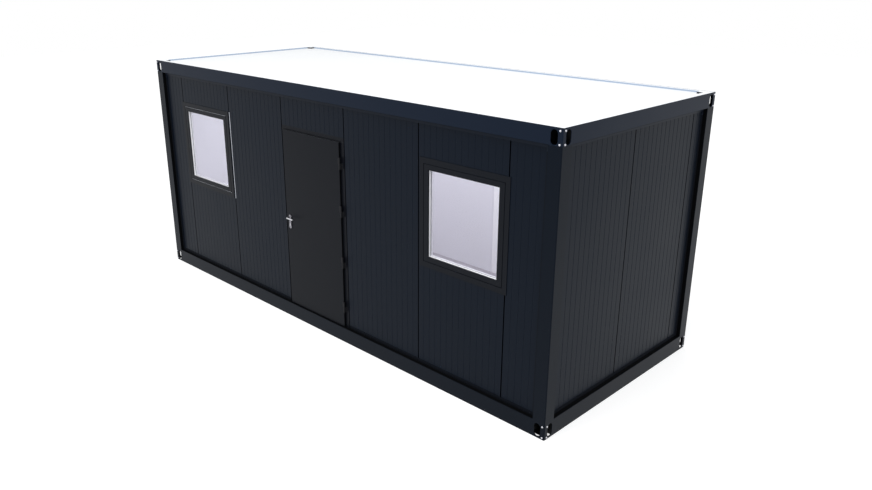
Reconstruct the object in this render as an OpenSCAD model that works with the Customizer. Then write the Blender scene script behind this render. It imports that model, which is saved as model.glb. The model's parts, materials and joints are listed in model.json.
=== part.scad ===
// Cabin in the size of a short shipping container: a steel frame with slotted corner castings,
// ribbed sandwich wall panels, one door that opens outwards and two fixed windows.
// The door side is the front and faces -Y. The frame stands on the ground at z = 0.

/* [Cabin] */
// Length over the corner castings
cabin_l = 6000; // [5500:10:7000]
// Width over the corner castings
cabin_w = 2400; // [2200:10:2600]
// Height over the corner castings
cabin_h = 2600; // [2500:10:3000]

/* [Frame] */
// Width of each face of a corner post
post_w = 124; // [110:1:150]
// Height of the bottom rails
bottom_rail_h = 155; // [140:1:200]
// Height of the top rails
top_rail_h = 136; // [120:1:180]
// Depth of the rails behind their outer faces
rail_d = 130; // [115:1:160]
// Thickness of the folded steel
steel_t = 4; // [3:0.5:6]
// Outer bend radius of the posts
post_r = 8; // [7:1:16]
// Width of the top rail's raised lip
lip_w = 60; // [50:1:90]
// Drop from the lip to the roof sheet's seat
roof_drop = 18; // [12:1:30]

/* [Corner castings] */
// Wall of a corner casting
casting_t = 6; // [5:0.5:12]
// Width of the lifting slots
slot_w = 66; // [40:1:68]
// Height of the lifting slots
slot_h = 118; // [90:1:118]
// Distance of a slot's centre line from the corner edge
slot_x = 75; // [64:1:76]
// Distance of a slot's middle from the cabin's top or foot
slot_z = 75; // [66:1:78]
// Width of the foot's opening behind a casting's long side
foot_gap_side = 35; // [20:1:60]
// Width of the foot's opening behind a casting's end
foot_gap_end = 62; // [20:1:70]

/* [Wall panels] */
// Depth of the panel faces behind the frame's outer faces
wall_recess = 40; // [34:1:50]
// Thickness of a wall panel
panel_t = 60; // [50:1:75]
// Width of a whole wall panel
panel_w = 988; // [960:4:1040]
// Open joint between two panel faces
joint_gap = 12; // [6:1:16]
// Depth of the panel foot below the bottom rail's top edge
panel_seat = 45; // [30:1:60]
// Height of the panel head behind the top rail's lower edge
panel_tuck = 40; // [25:1:60]
// Thickness of the tongue on a panel's edge
tongue_t = 20; // [14:1:28]
// Length of the tongue inside the next panel's groove
tongue_in = 12; // [8:1:20]
// Clearance round the tongue
tongue_clear = 0.5; // [0.3:0.1:1.5]
// Number of rib spaces across one panel
rib_count = 14; // [8:1:20]
// Width of the pressed line between two ribs
rib_line_w = 6; // [3:0.5:10]
// Depth of the pressed line between two ribs
rib_line_d = 1.5; // [0.5:0.1:3]
// Width of the first panel on the end walls
end_panel_w = 966; // [800:1:1000]
// Narrowest strip of wall that is worth a piece of its own
least_strip = 40; // [30:1:60]

/* [Wall seals] */
// Thickness of the seal on the frame's return
seal_t = 3; // [1:0.5:3]
// Width of the seal's lip on the panels
seal_lip_w = 30; // [15:1:45]
// Thickness of the seal's lip
seal_lip_t = 3; // [2:0.5:5]

/* [Floor and roof] */
// Depth of the finished floor below the bottom rail's top edge
floor_drop = 5; // [0:1:12]
// Thickness of the floor board
floor_t = 22; // [18:1:30]
// Depth of the floor's cross members
joist_h = 98; // [70:1:100]
// Width of the cross members
joist_w = 50; // [40:1:80]
// Greatest spacing of the cross members
joist_space = 620; // [400:10:700]
// Thickness of the underfloor sheet and the roof sheet
sheet_t = 2; // [1:0.5:4]
// Thickness of the ceiling board
ceiling_t = 10; // [8:1:20]

/* [Windows] */
// Whole panel that holds a window, counted from the corner
window_bay = 1; // [1:1:2]
// How far a window sits outwards from the middle of its panel
window_shift = 18; // [10:1:24]
// Width of a window frame
window_w = 893; // [700:1:900]
// Height of a window frame
window_h = 888; // [700:1:1100]
// Height of the window frame's foot above the ground
window_z = 1199; // [900:1:1250]
// Face width of the window frame's uprights
window_stile = 54; // [40:1:70]
// Face width of the window frame's top and foot
window_rail = 46; // [40:1:70]
// Width of the flange on each side of the frame
flange_side = 53; // [48:1:60]
// Height of the flange above and below the frame
flange_rise = 57; // [25:1:70]
// How far the flange and the frame stand out of the panel
flange_t = 5; // [3:0.5:8]
// Open groove between the flange and the frame
flange_groove = 6; // [2:0.5:8]
// Depth of the glass behind the frame's face
glass_depth = 28; // [15:1:30]
// Thickness of the sealed glass unit
glass_t = 16; // [4:1:20]
// Thickness of the white beads before and behind the glass
bead_t = 4; // [3:0.5:8]
// Depth of the outer bead behind the frame's face
bead_step = 8; // [4:1:12]

/* [Door] */
// Face width of the jamb on the hinge side
hinge_jamb_w = 46; // [40:1:60]
// Face width of the jamb on the lock side
lock_jamb_w = 24; // [20:1:45]
// Height of the frame's head
head_h = 40; // [30:1:60]
// How far the door frame stands into the room
jamb_inside = 5; // [0:1:20]
// Width of the stop behind the leaf's edge
stop_w = 20; // [12:1:30]
// Depth of the leaf's face behind the frame's outer face
leaf_recess = 20; // [18:1:24]
// Height of the leaf
leaf_h = 1937; // [1850:1:2050]
// Thickness of the leaf
leaf_t = 40; // [35:1:50]
// Gap between the leaf and the frame
leaf_gap = 5; // [5:0.5:8]
// Gap between the leaf and the jamb on the hinge side
hinge_gap = 8; // [6:0.5:14]
// Height of the leaf's foot above the bottom rail
leaf_foot = 8; // [8:1:12]

/* [Hinges] */
// Radius of a hinge barrel
barrel_r = 8; // [6:0.5:9]
// Height of a whole hinge
hinge_h = 110; // [70:1:120]
// Radius of a hinge pin
pin_r = 4; // [3:0.5:5]
// Radial clearance of a hinge pin
pin_clear = 0.05; // [0.02:0.01:0.1]
// Gap between the two halves of a hinge
knuckle_gap = 1; // [0.5:0.1:2]
// Height of the lowest hinge above the leaf's foot
hinge_foot = 221; // [180:1:300]
// Distance of the highest hinge from the leaf's head
hinge_head = 206; // [150:1:300]
// Distance between the two hinges of a pair
hinge_pair = 486; // [350:1:520]
// Thickness of the hinge plates
hinge_plate_t = 4; // [3:0.5:5]
// Distance of the hinge axis from the leaf's edge
hinge_out = 12; // [12:0.5:14]
// Width of the plate on the leaf
leaf_plate_w = 15; // [12:1:50]
// Width of the plate on the jamb
jamb_plate_w = 16; // [12:1:24]
// How far a barrel dips behind the leaf's face
barrel_dip = 2; // [0:0.5:3]

/* [Door handle] */
// Distance of the lever's axis from the leaf's edge
backset = 60; // [50:1:70]
// Height of the lever's axis above the leaf's foot
lever_z = 1002; // [900:1:1050]
// Distance from the lever's axis down to the lock cylinder
lock_drop = 77; // [72:1:92]
// Height of a handle plate
plate_h = 152; // [150:1:220]
// Width of a handle plate's rounded ends
plate_w = 40; // [34:1:44]
// Width of a handle plate between its ends
plate_waist = 30; // [24:1:33]
// Thickness of a handle plate
plate_t = 8; // [5:1:12]
// Part of the plate above the lever's axis
plate_up = 25; // [25:1:60]
// Distance of the lever's bar from the leaf
lever_reach = 53; // [45:1:65]
// Length of the lever from its axis
lever_l = 111; // [90:1:140]
// Radius of the lever's bar
lever_r = 9; // [7:0.5:11]
// Radius of the lever's bend
lever_bend = 16; // [12:1:24]
// Radius of the spindle
spindle_r = 5; // [4:0.5:6]
// Radial clearance of the spindle in its plates
spindle_clear = 0.05; // [0.02:0.01:0.1]
// Radial clearance of the spindle in the leaf
spindle_room = 3; // [1:0.5:5]
// Play between a lever's neck and its plate
neck_gap = 0.3; // [0.1:0.1:1]
// Radius of the lock cylinder's round part
cylinder_r = 8.5; // [7:0.5:10]
// Width of the lock cylinder's lower lobe
lobe_w = 10; // [8:0.5:13]
// Length of the lobe below the round part's middle
lobe_l = 20; // [16:0.5:24]
// How far the lock cylinder stands out of its plates
cylinder_proud = 3; // [1:0.5:6]

/* [Hidden] */
$fn = 48;

steel_dark = [0.13, 0.14, 0.16];
panel_dark = [0.12, 0.13, 0.15];
leaf_dark = [0.14, 0.14, 0.15];
rubber_black = [0.02, 0.02, 0.02];
lining_white = [0.86, 0.86, 0.88];
bare_metal = [0.75, 0.76, 0.78];
glass_tint = [0.80, 0.85, 0.90, 0.4];
board_brown = [0.45, 0.36, 0.28];
zinc_grey = [0.55, 0.57, 0.60];

eps = 1;
half_l = cabin_l / 2;
half_w = cabin_w / 2;
wall_back = wall_recess + panel_t;
front_half = half_l - post_w;
end_half = half_w - post_w;
seat_z = bottom_rail_h - panel_seat;
panel_top = cabin_h - top_rail_h + panel_tuck;
roof_seat = cabin_h - roof_drop;
floor_top = bottom_rail_h - floor_drop;
module_w = panel_w + joint_gap;
rib_pitch = module_w / rib_count;
bays = floor((front_half - module_w / 2 - least_strip) / module_w);
outer_joint = (bays + 0.5) * module_w;
end_joint = -end_half + end_panel_w + joint_gap / 2;
window_place = bays + 1 - window_bay;
window_x = window_place * module_w + window_shift;
window_mid = window_z + window_h / 2;
opening_w = window_w - 2 * window_stile;
opening_h = window_h - 2 * window_rail;
window_face_y = wall_recess - flange_t;
glass_y = window_face_y + glass_depth;

frame_x = module_w / 2 - joint_gap / 2;
leaf_x0 = -frame_x + lock_jamb_w + leaf_gap;
leaf_x1 = frame_x - hinge_jamb_w - hinge_gap;
leaf_w = leaf_x1 - leaf_x0;
leaf_z0 = bottom_rail_h + leaf_foot;
leaf_z1 = leaf_z0 + leaf_h;
head_z = leaf_z1 + leaf_gap;
head_top = head_z + head_h;
stop_y = leaf_recess + leaf_t + leaf_gap;
jamb_back = wall_back + jamb_inside;
hinge_x = leaf_x1 + hinge_out;
hinge_y = leaf_recess - barrel_r + barrel_dip;
hinge_zs = [
    leaf_z0 + hinge_foot,
    leaf_z0 + hinge_foot + hinge_pair,
    leaf_z1 - hinge_head - hinge_pair,
    leaf_z1 - hinge_head
];
half_hinge = (hinge_h - knuckle_gap) / 2;
lever_x = leaf_x0 + backset;
lever_height = leaf_z0 + lever_z;
neck_l = lever_reach - plate_t - neck_gap;
outer_neck_y = leaf_recess - plate_t - neck_gap;
inner_neck_y = leaf_recess + leaf_t + plate_t + neck_gap;

// A wall's own frame: X runs along the wall, Y runs inwards from the frame's outer face.
module at_front() { translate([0, -half_w, 0]) children(); }
module at_back() { rotate(180) translate([0, -half_w, 0]) children(); }
module at_right() { rotate(90) translate([0, -half_l, 0]) children(); }
module at_left() { rotate(-90) translate([0, -half_l, 0]) children(); }

// A corner's own frame: X and Y run inwards from the outer corner edge.
module at_corner(sx, sy) {
    translate([sx * half_l, sy * half_w, 0])
        mirror([sx > 0 ? 1 : 0, 0, 0])
            mirror([0, sy > 0 ? 1 : 0, 0])
                children();
}

module at_all_corners() {
    for (sx = [-1, 1], sy = [-1, 1]) at_corner(sx, sy) children();
}

// Sweeps a profile drawn as depth and height along a wall.
module along_wall(length) {
    rotate([90, 0, 90]) linear_extrude(length, center = true) children();
}

// Stadium that runs upwards and is cut along +Y.
module slot_cut(w, h, depth) {
    r = w / 2;
    translate([-r, 0, -h / 2 + r]) cube([w, depth, h - w]);
    for (s = [-1, 1])
        translate([0, 0, s * (h / 2 - r)]) rotate([-90, 0, 0]) cylinder(r = r, h = depth);
}

function bottom_outline(i) = [
    [i, i],
    [rail_d - i, i],
    [rail_d - i, seat_z - i],
    [wall_recess - i, seat_z - i],
    [wall_recess - i, bottom_rail_h - i],
    [i, bottom_rail_h - i]
];

function top_outline(i) = [
    [i, cabin_h - i],
    [i, cabin_h - top_rail_h + i],
    [wall_recess - i, cabin_h - top_rail_h + i],
    [wall_recess - i, panel_top + i],
    [rail_d - i, panel_top + i],
    [rail_d - i, roof_seat - i],
    [lip_w - i, roof_seat - i],
    [lip_w - i, cabin_h - i]
];

module bottom_rail(half) {
    color(steel_dark)
        along_wall(2 * half)
            difference() {
                polygon(bottom_outline(0));
                polygon(bottom_outline(steel_t));
            }
}

module top_rail(half) {
    color(steel_dark)
        along_wall(2 * half)
            difference() {
                polygon(top_outline(0));
                polygon(top_outline(steel_t));
            }
}

// Cuts an end wall's rail back round the long rails where they reach past the posts.
module coped(sx) {
    difference() {
        children();
        for (sy = [-1, 1])
            at_corner(sx, sy)
                translate([post_w, 0, -eps]) cube([rail_d, rail_d, cabin_h + 2 * eps]);
    }
}

// Square with one rounded corner, the bent outer edge of a post or casting.
module corner_section(w, r) {
    translate([r, 0]) square([w - r, w]);
    translate([0, r]) square([w, w - r]);
    translate([r, r]) circle(r);
}

module post() {
    color(steel_dark)
        translate([0, 0, bottom_rail_h])
            linear_extrude(cabin_h - top_rail_h - bottom_rail_h)
                difference() {
                    corner_section(post_w, post_r);
                    translate([steel_t, steel_t])
                        corner_section(post_w - 2 * steel_t, post_r - steel_t);
                }
}

// Hollow casting with a lifting slot in each of its two outer faces.
module casting(h, slot_mid) {
    difference() {
        linear_extrude(h) corner_section(post_w, post_r);
        translate([casting_t, casting_t, casting_t])
            cube([post_w - 2 * casting_t, post_w - 2 * casting_t, h - 2 * casting_t]);
        translate([slot_x, -eps, slot_mid]) slot_cut(slot_w, slot_h, casting_t + 2 * eps);
        translate([-eps, slot_x, slot_mid])
            rotate(-90) slot_cut(slot_w, slot_h, casting_t + 2 * eps);
    }
}

// Opening in a bottom casting's foot, an L that runs along the insides of its outer faces.
module foot_opening() {
    span = post_w - 2 * casting_t;
    translate([casting_t, casting_t, -eps])
        difference() {
            cube([span, span, casting_t + 2 * eps]);
            translate([foot_gap_end, foot_gap_side, -eps])
                cube([span, span, casting_t + 4 * eps]);
        }
}

module bottom_castings() {
    color(steel_dark)
        at_all_corners()
            difference() {
                casting(bottom_rail_h, slot_z);
                foot_opening();
            }
}

module top_castings() {
    color(steel_dark)
        at_all_corners()
            translate([0, 0, cabin_h - top_rail_h])
                casting(top_rail_h, top_rail_h - slot_z);
}

// C-section that runs from the front to the back between the rails' inner webs.
module cross_member(h) {
    length = cabin_w - 2 * rail_d;
    rotate([90, 0, 0])
        linear_extrude(length, center = true)
            difference() {
                translate([-joist_w / 2, 0]) square([joist_w, h]);
                translate([-joist_w / 2 + steel_t, steel_t])
                    square([joist_w, h - 2 * steel_t]);
            }
}

member_count = ceil((cabin_l - 2 * rail_d) / joist_space) - 1;
member_step = (cabin_l - 2 * rail_d) / (member_count + 1);

module cross_member_row(z, h) {
    for (i = [1:member_count])
        translate([-half_l + rail_d + i * member_step, 0, z]) cross_member(h);
}

// Level board between the walls, cut back round the four posts.
module inner_board(z, t) {
    room_l = 2 * (half_l - wall_back);
    room_w = 2 * (half_w - wall_back);
    difference() {
        translate([-room_l / 2, -room_w / 2, z]) cube([room_l, room_w, t]);
        at_all_corners() translate([0, 0, z - eps]) cube([post_w, post_w, t + 2 * eps]);
    }
}

module floor_cross_members() {
    color(steel_dark) cross_member_row(floor_top - floor_t - joist_h, joist_h);
}

module underfloor_sheet() {
    color(zinc_grey)
        translate([-half_l + rail_d, -half_w + rail_d, floor_top - floor_t - joist_h - sheet_t])
            cube([cabin_l - 2 * rail_d, cabin_w - 2 * rail_d, sheet_t]);
}

module floor_board() {
    color(board_brown)
        difference() {
            inner_board(floor_top - floor_t, floor_t);
            at_front()
                translate([-frame_x, 0, floor_top - floor_t - eps])
                    cube([2 * frame_x, jamb_back, floor_t + 2 * eps]);
        }
}

module roof_cross_members() {
    color(steel_dark) cross_member_row(panel_top, roof_seat - panel_top);
}

module ceiling_board() {
    color(lining_white) inner_board(panel_top - ceiling_t, ceiling_t);
}

module roof_sheet() {
    color(lining_white)
        difference() {
            translate([-half_l + lip_w, -half_w + lip_w, roof_seat])
                cube([cabin_l - 2 * lip_w, cabin_w - 2 * lip_w, sheet_t]);
            at_all_corners()
                translate([0, 0, roof_seat - eps]) cube([post_w, post_w, sheet_t + 2 * eps]);
        }
}

// Middle lines of the pressed lines between x0 and x1, counted from a panel joint.
function rib_lines(x0, x1, joint) = [
    for (k = [
        ceil((x0 + rib_line_w - joint) / rib_pitch) :
        floor((x1 - rib_line_w - joint) / rib_pitch)
    ]) joint + k * rib_pitch
];

function ribbed_face(x0, x1, joint) = [
    for (x = rib_lines(x0, x1, joint))
        each [[x - rib_line_w / 2, 0], [x, rib_line_d], [x + rib_line_w / 2, 0]]
];

tongue_y0 = (panel_t - tongue_t) / 2;
tongue_y1 = tongue_y0 + tongue_t;
tongue_l = joint_gap + tongue_in;
groove_l = tongue_in + tongue_clear;

function grooved_edge(x) = [
    [x, tongue_y0 - tongue_clear],
    [x - groove_l, tongue_y0 - tongue_clear],
    [x - groove_l, tongue_y1 + tongue_clear],
    [x, tongue_y1 + tongue_clear]
];

function tongued_edge(x) = [
    [x, tongue_y1],
    [x - tongue_l, tongue_y1],
    [x - tongue_l, tongue_y0],
    [x, tongue_y0]
];

// Sandwich panel from x0 to x1: ribbed outer face, groove at its right edge and tongue
// at its left edge. A cut edge is plain.
module wall_panel(x0, x1, z0, z1, joint, tongue = true, groove = true) {
    translate([0, wall_recess, z0])
        linear_extrude(z1 - z0)
            polygon(concat(
                [[x0, 0]],
                ribbed_face(x0, x1, joint),
                [[x1, 0]],
                groove ? grooved_edge(x1) : [],
                [[x1, panel_t], [x0, panel_t]],
                tongue ? tongued_edge(x0) : []
            ));
}

// One whole panel, numbered from the middle of the wall.
module bay_panel(bay, z0 = seat_z, tongue = true, groove = true) {
    x0 = (bay - 0.5) * module_w + joint_gap / 2;
    x1 = (bay + 0.5) * module_w - joint_gap / 2;
    wall_panel(x0, x1, z0, panel_top, module_w / 2, tongue, groove);
}

// Strips that fill a long wall between its last whole panels and the posts.
module end_strips() {
    wall_panel(-front_half, -outer_joint - joint_gap / 2, seat_z, panel_top, module_w / 2, false, true);
    wall_panel(outer_joint + joint_gap / 2, front_half, seat_z, panel_top, module_w / 2, true, false);
}

module front_plain_panels() {
    color(panel_dark)
        at_front() {
            end_strips();
            for (bay = [1:bays])
                if (bay != window_place) {
                    bay_panel(-bay, seat_z, true, bay > 1);
                    bay_panel(bay, seat_z, bay > 1, true);
                }
        }
}

module window_panel(side) {
    apart = window_place > 1;
    color(panel_dark)
        at_front()
            difference() {
                bay_panel(side * window_place, seat_z, side < 0 || apart, side > 0 || apart);
                translate([side * window_x - window_w / 2, wall_recess - eps, window_z])
                    cube([window_w, panel_t + 2 * eps, window_h]);
            }
}

module over_door_panel() {
    color(panel_dark) at_front() bay_panel(0, head_top, false, false);
}

module back_wall_panels() {
    color(panel_dark)
        at_back() {
            end_strips();
            for (bay = [-bays:bays]) bay_panel(bay);
        }
}

// End wall: a panel cut at the front post, whole panels, and a strip at the back post.
module end_wall() {
    first = end_joint - joint_gap / 2;
    wall_panel(-end_half, first, seat_z, panel_top, end_joint, false, true);
    whole = floor((end_half - end_joint - least_strip) / module_w);
    for (i = [0:whole])
        wall_panel(
            end_joint + i * module_w + joint_gap / 2,
            min(end_joint + (i + 1) * module_w - joint_gap / 2, end_half),
            seat_z, panel_top, end_joint, true, i < whole
        );
}

module right_wall_panels() {
    color(panel_dark) at_right() end_wall();
}

module left_wall_panels() {
    color(panel_dark) mirror([1, 0, 0]) at_right() end_wall();
}

// L-shaped seal round a wall's opening: one leg on the frame's return, one on the panels.
module wall_seal(half) {
    z0 = bottom_rail_h;
    z1 = cabin_h - top_rail_h;
    y0 = steel_t;
    lip = seal_t + seal_lip_w;
    difference() {
        translate([-half, y0, z0]) cube([2 * half, wall_recess - y0, z1 - z0]);
        translate([-half + seal_t, y0 - eps, z0 + seal_t])
            cube([2 * (half - seal_t), wall_recess - seal_lip_t - y0 + eps, z1 - z0 - 2 * seal_t]);
        translate([-half + lip, y0 - eps, z0 + lip])
            cube([2 * (half - lip), wall_recess, z1 - z0 - 2 * lip]);
    }
}

// The front seal has no lip on the door, and its lower leg runs on under the leaf.
module wall_seals() {
    color(rubber_black) {
        at_front()
            difference() {
                wall_seal(front_half);
                translate([-frame_x - joint_gap, 0, bottom_rail_h + seal_t])
                    cube([2 * (frame_x + joint_gap), wall_recess + eps, 2 * seal_lip_w]);
            }
        at_back() wall_seal(front_half);
        at_left() wall_seal(end_half);
        at_right() wall_seal(end_half);
    }
}

// Rectangular ring in the plane of a wall, from depth y0 to y1.
module ring(w, h, inner_w, inner_h, y0, y1) {
    difference() {
        translate([-w / 2, y0, -h / 2]) cube([w, y1 - y0, h]);
        translate([-inner_w / 2, y0 - eps, -inner_h / 2])
            cube([inner_w, y1 - y0 + 2 * eps, inner_h]);
    }
}

module at_window(side) {
    at_front() translate([side * window_x, 0, window_mid]) children();
}

module window_flange(side) {
    color(steel_dark)
        at_window(side)
            ring(
                window_w + 2 * flange_side, window_h + 2 * flange_rise,
                window_w + 2 * flange_groove, window_h + 2 * flange_groove,
                window_face_y, wall_recess
            );
}

module window_frame(side) {
    color(steel_dark)
        at_window(side) ring(window_w, window_h, opening_w, opening_h, window_face_y, wall_back);
}

module window_glass(side) {
    color(glass_tint)
        at_window(side)
            translate([-opening_w / 2, glass_y, -opening_h / 2])
                cube([opening_w, glass_t, opening_h]);
}

module bead(y0, y1) {
    ring(
        opening_w, opening_h,
        opening_w - 2 * bead_t, opening_h - 2 * bead_t,
        y0, y1
    );
}

// One bead holds each pane from outside and one from inside.
module window_beads() {
    color(lining_white)
        for (side = [-1, 1])
            at_window(side) {
                bead(window_face_y + bead_step, glass_y);
                bead(glass_y + glass_t, wall_back);
            }
}

// Section of both jambs, each with the stop that the leaf closes against.
module jamb_sections() {
    depth = jamb_back - wall_recess;
    translate([-frame_x, wall_recess]) square([lock_jamb_w, depth]);
    translate([-frame_x, stop_y]) square([leaf_x0 + stop_w + frame_x, jamb_back - stop_y]);
    translate([frame_x - hinge_jamb_w, wall_recess]) square([hinge_jamb_w, depth]);
    translate([leaf_x1 - stop_w, stop_y])
        square([frame_x - leaf_x1 + stop_w, jamb_back - stop_y]);
}

// Jambs, head and stop, level with the panels' faces. They stand on the bottom rail's seat,
// and a fin closes the open joint on each side up to the panels' heads.
module door_frame() {
    color(steel_dark)
        at_front() {
            translate([0, 0, seat_z]) linear_extrude(head_top - seat_z) jamb_sections();
            translate([-frame_x, wall_recess, head_z])
                cube([2 * frame_x, jamb_back - wall_recess, head_h]);
            translate([-frame_x, stop_y, leaf_z1 - stop_w])
                cube([2 * frame_x, jamb_back - stop_y, head_top - leaf_z1 + stop_w]);
            for (side = [-1, 1])
                translate([side * module_w / 2 - joint_gap / 2, wall_recess + tongue_y0, seat_z])
                    cube([joint_gap, tongue_t, panel_top - seat_z]);
        }
}

module door_threshold() {
    top = leaf_z0 - leaf_gap;
    color(bare_metal)
        at_front()
            translate([0, 0, seat_z])
                linear_extrude(top - seat_z) {
                    translate([-frame_x + lock_jamb_w, wall_recess])
                        square([2 * frame_x - lock_jamb_w - hinge_jamb_w, stop_y - wall_recess]);
                    translate([leaf_x0 + stop_w, wall_recess])
                        square([leaf_w - 2 * stop_w, jamb_back - wall_recess]);
                }
}

// Lower barrel with its pin, and the cranked plate that reaches the jamb's face.
module hinge_frame_halves() {
    reach = wall_recess - hinge_y;
    color(zinc_grey)
        at_front()
            for (z = hinge_zs)
                translate([hinge_x, hinge_y, z - hinge_h / 2]) {
                    cylinder(r = barrel_r, h = half_hinge);
                    cylinder(r = pin_r, h = hinge_h - 2 * knuckle_gap);
                    translate([barrel_r - hinge_plate_t, 0, 0])
                        cube([hinge_plate_t, reach, half_hinge]);
                    translate([barrel_r - hinge_plate_t, reach - hinge_plate_t, 0])
                        cube([jamb_plate_w, hinge_plate_t, half_hinge]);
                }
}

// Upper barrel, bored for the pin, and the plate on the leaf.
module hinge_leaf_halves() {
    plate_l = hinge_out + leaf_plate_w;
    color(zinc_grey)
        at_front()
            for (z = hinge_zs)
                translate([hinge_x, hinge_y, z + knuckle_gap / 2])
                    difference() {
                        union() {
                            cylinder(r = barrel_r, h = half_hinge);
                            translate([-plate_l, leaf_recess - hinge_y - hinge_plate_t, 0])
                                cube([plate_l, hinge_plate_t, half_hinge]);
                        }
                        translate([0, 0, -eps])
                            cylinder(r = pin_r + pin_clear, h = half_hinge + 2 * eps);
                    }
}

// Lock cylinder's section: round above, with a narrower lobe below.
module cylinder_section() {
    circle(cylinder_r);
    translate([-lobe_w / 2, -lobe_l]) square([lobe_w, lobe_l]);
}

// Places a section drawn in the leaf's plane and runs it inwards from depth y0 to y1.
module through_leaf(y0, y1) {
    translate([0, y1, 0]) rotate([90, 0, 0]) linear_extrude(y1 - y0) children();
}

module door_leaf() {
    color(leaf_dark)
        at_front()
            difference() {
                translate([leaf_x0, leaf_recess, leaf_z0]) cube([leaf_w, leaf_t, leaf_h]);
                translate([lever_x, 0, lever_height])
                    through_leaf(leaf_recess - eps, leaf_recess + leaf_t + eps) {
                        circle(spindle_r + spindle_room);
                        translate([0, -lock_drop]) cylinder_section();
                    }
            }
}

module plate_section() {
    r = plate_w / 2;
    translate([0, plate_up - r]) circle(r);
    translate([0, plate_up - plate_h + r]) circle(r);
    translate([-plate_waist / 2, plate_up - plate_h + r]) square([plate_waist, plate_h - 2 * r]);
}

module handle_plates() {
    color(bare_metal)
        at_front()
            translate([lever_x, 0, lever_height])
                for (y = [leaf_recess - plate_t, leaf_recess + leaf_t])
                    through_leaf(y, y + plate_t)
                        difference() {
                            plate_section();
                            circle(spindle_r + spindle_clear);
                            translate([0, -lock_drop]) cylinder_section();
                        }
}

module lock_cylinder() {
    out = plate_t + cylinder_proud;
    color(bare_metal)
        at_front()
            translate([lever_x, 0, lever_height - lock_drop])
                through_leaf(leaf_recess - out, leaf_recess + leaf_t + out) cylinder_section();
}

// Round lever that leaves its plate at y = 0, runs out along -Y and turns towards +X.
module lever_bar(neck) {
    straight = neck - lever_bend;
    rotate([90, 0, 0]) cylinder(r = lever_r, h = straight);
    translate([lever_bend, -straight, 0])
        rotate(180) rotate_extrude(angle = 90) translate([lever_bend, 0]) circle(lever_r);
    translate([lever_bend, -neck, 0])
        rotate([0, 90, 0]) cylinder(r = lever_r, h = lever_l - lever_bend);
}

// Outer lever with the spindle that passes through the leaf to the inner one.
module outer_lever() {
    color(bare_metal)
        at_front()
            translate([lever_x, 0, lever_height]) {
                translate([0, outer_neck_y, 0]) lever_bar(neck_l);
                through_leaf(outer_neck_y - eps, inner_neck_y) circle(spindle_r);
            }
}

module inner_lever() {
    color(bare_metal)
        at_front()
            translate([lever_x, inner_neck_y, lever_height])
                mirror([0, 1, 0]) lever_bar(neck_l);
}

at_front() bottom_rail(front_half);  // front_bottom_rail
at_back() bottom_rail(front_half);  // back_bottom_rail
coped(-1) at_left() bottom_rail(end_half);  // left_bottom_rail
coped(1) at_right() bottom_rail(end_half);  // right_bottom_rail
at_front() top_rail(front_half);  // front_top_rail
at_back() top_rail(front_half);  // back_top_rail
coped(-1) at_left() top_rail(end_half);  // left_top_rail
coped(1) at_right() top_rail(end_half);  // right_top_rail
at_corner(-1, -1) post();  // front_left_post
at_corner(1, -1) post();  // front_right_post
at_corner(-1, 1) post();  // back_left_post
at_corner(1, 1) post();  // back_right_post
bottom_castings();
top_castings();
underfloor_sheet();
floor_cross_members();
floor_board();
roof_cross_members();
roof_sheet();
ceiling_board();
front_plain_panels();
window_panel(-1);  // left_window_panel
window_panel(1);  // right_window_panel
over_door_panel();
back_wall_panels();
left_wall_panels();
right_wall_panels();
wall_seals();
window_flange(-1);  // left_window_flange
window_frame(-1);  // left_window_frame
window_glass(-1);  // left_window_glass
window_flange(1);  // right_window_flange
window_frame(1);  // right_window_frame
window_glass(1);  // right_window_glass
window_beads();
door_frame();
door_threshold();
hinge_frame_halves();
door_leaf();
hinge_leaf_halves();
handle_plates();
lock_cylinder();
outer_lever();
inner_lever();
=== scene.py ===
"""Dresses the solids of a shipping container cabin: paint, linings, glass, seals and fasteners.
Lengths are in metres. The door side faces -Y, +X runs to the cabin's right end, +Z is up."""

import json
import math

import bpy
from mathutils import Matrix, Vector


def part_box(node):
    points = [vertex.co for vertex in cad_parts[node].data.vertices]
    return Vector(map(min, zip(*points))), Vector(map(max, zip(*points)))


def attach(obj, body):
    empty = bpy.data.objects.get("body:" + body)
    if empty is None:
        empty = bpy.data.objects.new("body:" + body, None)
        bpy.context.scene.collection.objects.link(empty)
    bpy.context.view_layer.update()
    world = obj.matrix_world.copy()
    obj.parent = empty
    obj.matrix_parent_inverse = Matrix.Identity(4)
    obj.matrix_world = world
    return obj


bl_info = {
    "name": "Container Cabin Finish",
    "version": (1, 0, 0),
    "blender": (4, 5, 0),
    "location": "View3D > Sidebar > Cabin",
    "description": "Finishes a shipping container cabin around its packed solids",
    "category": "Object",
}

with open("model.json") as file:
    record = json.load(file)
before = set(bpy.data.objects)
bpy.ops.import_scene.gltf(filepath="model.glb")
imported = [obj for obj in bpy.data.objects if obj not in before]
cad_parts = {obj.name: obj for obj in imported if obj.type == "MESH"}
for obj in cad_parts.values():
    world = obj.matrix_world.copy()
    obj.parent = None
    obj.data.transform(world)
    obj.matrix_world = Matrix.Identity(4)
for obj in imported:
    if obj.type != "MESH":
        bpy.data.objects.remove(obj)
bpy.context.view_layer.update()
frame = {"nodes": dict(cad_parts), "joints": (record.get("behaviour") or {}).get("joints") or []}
NODES = frame["nodes"]
HINGE_X, HINGE_Y, _ = next(joint["pos_m"] for joint in frame["joints"] if joint["name"] == "door_swing")


def box(node):
    low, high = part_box(node)
    return Vector(low), Vector(high)


# Corners of the solids that the finishes and the added pieces go by

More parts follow.
